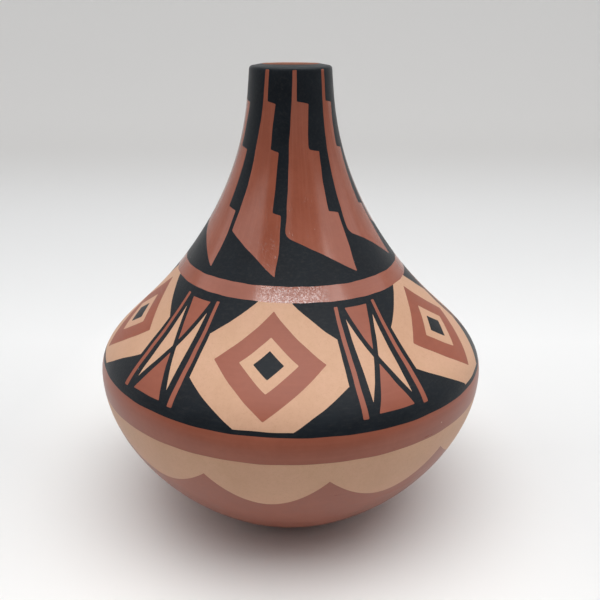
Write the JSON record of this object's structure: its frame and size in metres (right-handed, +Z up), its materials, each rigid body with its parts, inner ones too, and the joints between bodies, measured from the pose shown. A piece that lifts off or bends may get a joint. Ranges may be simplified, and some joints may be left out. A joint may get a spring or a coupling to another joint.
{
  "type": "pueblo pottery vase",
  "caption": "Hand-coiled clay vase with a wide belly, narrow neck and thick lip, painted in red, cream and black bands with stepped feather panels.",
  "frame": {"origin": "centre of the flat foot, on the surface that the vase stands on", "axes": "+Z up along the vase's axis; -Y towards the side that the picture shows, +X to its right"},
  "size_m": [0.1202, 0.1202, 0.14],
  "materials": {
    "red_slip": "satin",
    "cream_slip": "matte",
    "black_paint": "matte",
    "fired_clay": "matte"
  },
  "bodies": {
    "root": {"moulded_base": "red_slip", "bowl_coil_1": "cream_slip", "bowl_coil_2": "cream_slip", "bowl_coil_3": "cream_slip", "belly_coil": "red_slip", "shoulder_coil_1": "cream_slip", "shoulder_coil_2": "cream_slip", "shoulder_coil_3": "cream_slip", "shoulder_coil_4": "cream_slip", "collar_coil": "red_slip", "neck_coil_1": "black_paint", "neck_coil_2": "black_paint", "neck_coil_3": "black_paint", "neck_coil_4": "black_paint", "neck_coil_5": "black_paint", "rim_coil": "black_paint"}
  },
  "joints": []
}
